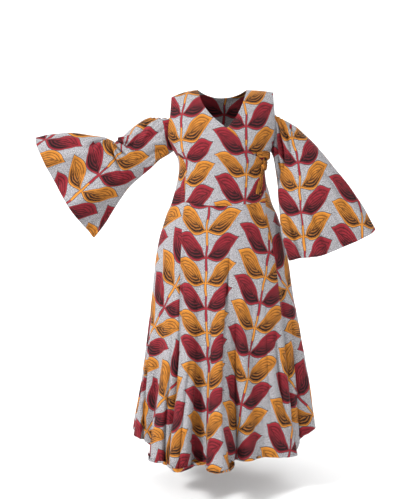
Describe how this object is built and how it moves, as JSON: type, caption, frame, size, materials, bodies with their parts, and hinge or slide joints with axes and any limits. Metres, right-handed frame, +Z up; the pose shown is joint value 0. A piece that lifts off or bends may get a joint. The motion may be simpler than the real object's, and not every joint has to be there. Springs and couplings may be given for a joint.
{
  "type": "wrap dress",
  "caption": "Long flared wrap dress with a crossed V neck, open shoulders, gathered bell sleeves, a waist seam and a side tie, standing open as worn.",
  "frame": {"origin": "midway between the two neck points of the shoulder seams, where the dress rests on its wearer's shoulders", "axes": "+Z up, +X towards the wearer's left, -Y towards the front"},
  "size_m": [1.1991, 0.5961, 1.3048],
  "materials": {
    "printed_cotton": "matte woven cotton with an all-over print in grey, red and orange",
    "tie_cotton": "matte woven cotton, the same print folded into a narrow band"
  },
  "bodies": {
    "root": {"back": "printed_cotton", "front_bodice_right": "printed_cotton", "front_bodice_left": "printed_cotton", "skirt_front_right": "printed_cotton", "skirt_front_left": "printed_cotton", "sleeve_right": "printed_cotton", "sleeve_left": "printed_cotton", "tie_front": "tie_cotton", "tie_back": "tie_cotton", "tie_tail": "tie_cotton", "tie_knot": "tie_cotton"}
  },
  "joints": []
}
